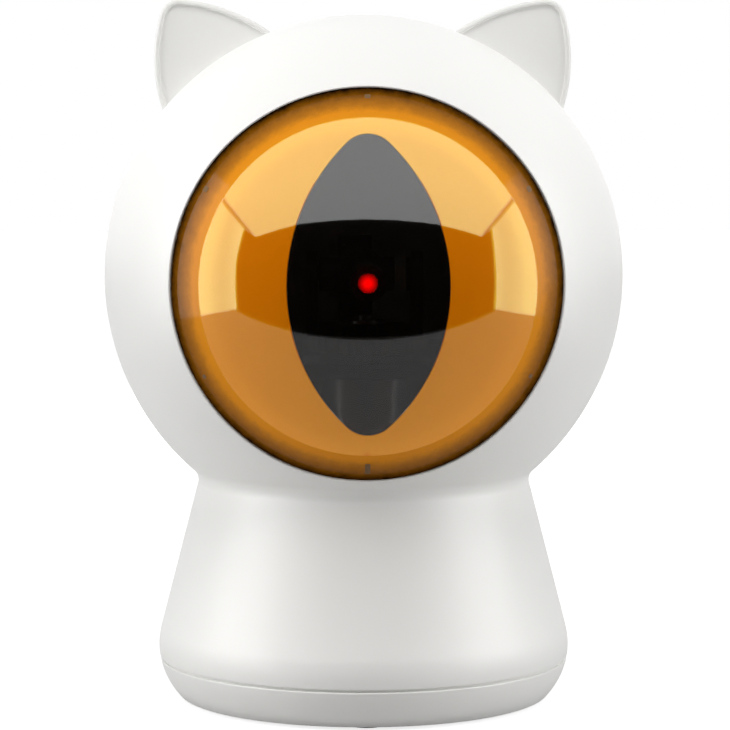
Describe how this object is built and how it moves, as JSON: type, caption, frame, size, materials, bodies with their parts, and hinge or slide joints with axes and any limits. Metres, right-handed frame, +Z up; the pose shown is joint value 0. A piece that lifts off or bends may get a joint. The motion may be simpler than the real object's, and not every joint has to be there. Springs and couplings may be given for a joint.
{
  "type": "automatic cat laser toy",
  "caption": "Round cat-eared head on a flared stand; a domed amber eye hides a small laser that pans and tilts on geared motors to draw a moving dot.",
  "frame": {"origin": "on the floor under the middle of the stand", "axes": "+Z up, the eye faces -Y, +X to the right of someone who looks at the eye"},
  "size_m": [0.092, 0.092, 0.1243],
  "materials": {
    "white_plastic": "satin",
    "foot_rubber": "matte",
    "clear_dome": "polished",
    "amber_lacquer": "metallic lacquer",
    "smoked_window": "polished",
    "black_plastic": "moulded",
    "screw_steel": "zinc plated",
    "cell_jacket": "printed wrap",
    "contact_metal": "nickel plated",
    "motor_steel": "plain can",
    "gear_plastic": "natural acetal",
    "laser_brass": "turned",
    "laser_lens": "polished, lit",
    "circuit_board": "solder mask",
    "grey_button": "satin",
    "led_lens": "clear",
    "light_pipe": "frosted"
  },
  "bodies": {
    "housing": {"front_shell": "white_plastic", "rear_shell": "white_plastic", "bottom_cover": "white_plastic", "rubber_feet": "foot_rubber", "left_ear": "white_plastic", "right_ear": "white_plastic", "eye_dome": "clear_dome", "iris": "amber_lacquer", "pupil_window": "smoked_window", "dome_ring": "black_plastic", "dome_ring_screws": "screw_steel", "battery_holder": "black_plastic", "battery_1": "cell_jacket", "battery_2": "cell_jacket", "battery_3": "cell_jacket", "battery_4": "cell_jacket", "holder_contacts": "contact_metal", "holder_springs": "contact_metal", "door_hinge_pin": "screw_steel", "deck": "black_plastic", "pan_motor": "motor_steel", "pan_washer": "screw_steel", "pan_screw": "screw_steel", "main_board": "circuit_board", "board_parts": "black_plastic", "push_switch": "black_plastic", "status_led": "led_lens", "light_pipe": "light_pipe", "charging_board": "circuit_board", "charging_socket": "contact_metal", "cover_screws": "screw_steel", "shell_screws": "screw_steel", "screw_plugs": "white_plastic", "holder_screws": "screw_steel", "deck_screws": "screw_steel", "motor_screws": "screw_steel", "board_screws": "screw_steel"},
    "battery_door": {"battery_door": "white_plastic", "door_contacts": "contact_metal", "door_springs": "contact_metal"},
    "pan_pinion": {"pan_motor_shaft": "screw_steel", "pan_pinion": "gear_plastic"},
    "pan_yoke": {"pan_gear": "gear_plastic", "yoke": "black_plastic", "tilt_motor": "motor_steel"},
    "tilt_pinion": {"tilt_motor_shaft": "screw_steel", "tilt_pinion": "gear_plastic"},
    "laser_head": {"tilt_sector": "gear_plastic", "laser_holder": "black_plastic", "laser_barrel": "laser_brass", "laser_lens": "laser_lens", "laser_board": "circuit_board"},
    "power_button": {"switch_plunger": "black_plastic", "power_button": "grey_button"}
  },
  "joints": [
    {"name": "laser_pan", "type": "hinge", "parent": "housing", "child": "pan_yoke", "pos_m": [0, -0.008, 0.0754], "axis": [0, 0, 1], "range_deg": [-25, 25]},
    {"name": "laser_tilt", "type": "hinge", "parent": "pan_yoke", "child": "laser_head", "pos_m": [0, -0.008, 0.076], "axis": [1, 0, 0], "range_deg": [-12, 18]},
    {"name": "pan_pinion_spin", "type": "hinge", "parent": "housing", "child": "pan_pinion", "pos_m": [0, -0.022, 0.066], "axis": [0, 0, 1], "range_deg": [-76, 76]},
    {"name": "tilt_pinion_spin", "type": "hinge", "parent": "pan_yoke", "child": "tilt_pinion", "pos_m": [0.006, 0.0055, 0.076], "axis": [1, 0, 0], "range_deg": [-53, 36]},
    {"name": "button_press", "type": "slide", "parent": "housing", "child": "power_button", "axis": [0, -1, 0], "range_m": [0, 0.0006], "stiffness_N_per_m": 800, "springref_m": -0.0008},
    {"name": "door_hinge", "type": "hinge", "parent": "housing", "child": "battery_door", "pos_m": [0, 0.0214, 0.00175], "axis": [1, 0, 0], "range_deg": [0, 90]}
  ],
  "couplings": [
    {"joint": "pan_pinion_spin", "follows": "laser_pan", "ratio": -3},
    {"joint": "tilt_pinion_spin", "follows": "laser_tilt", "ratio": -2.8571}
  ]
}
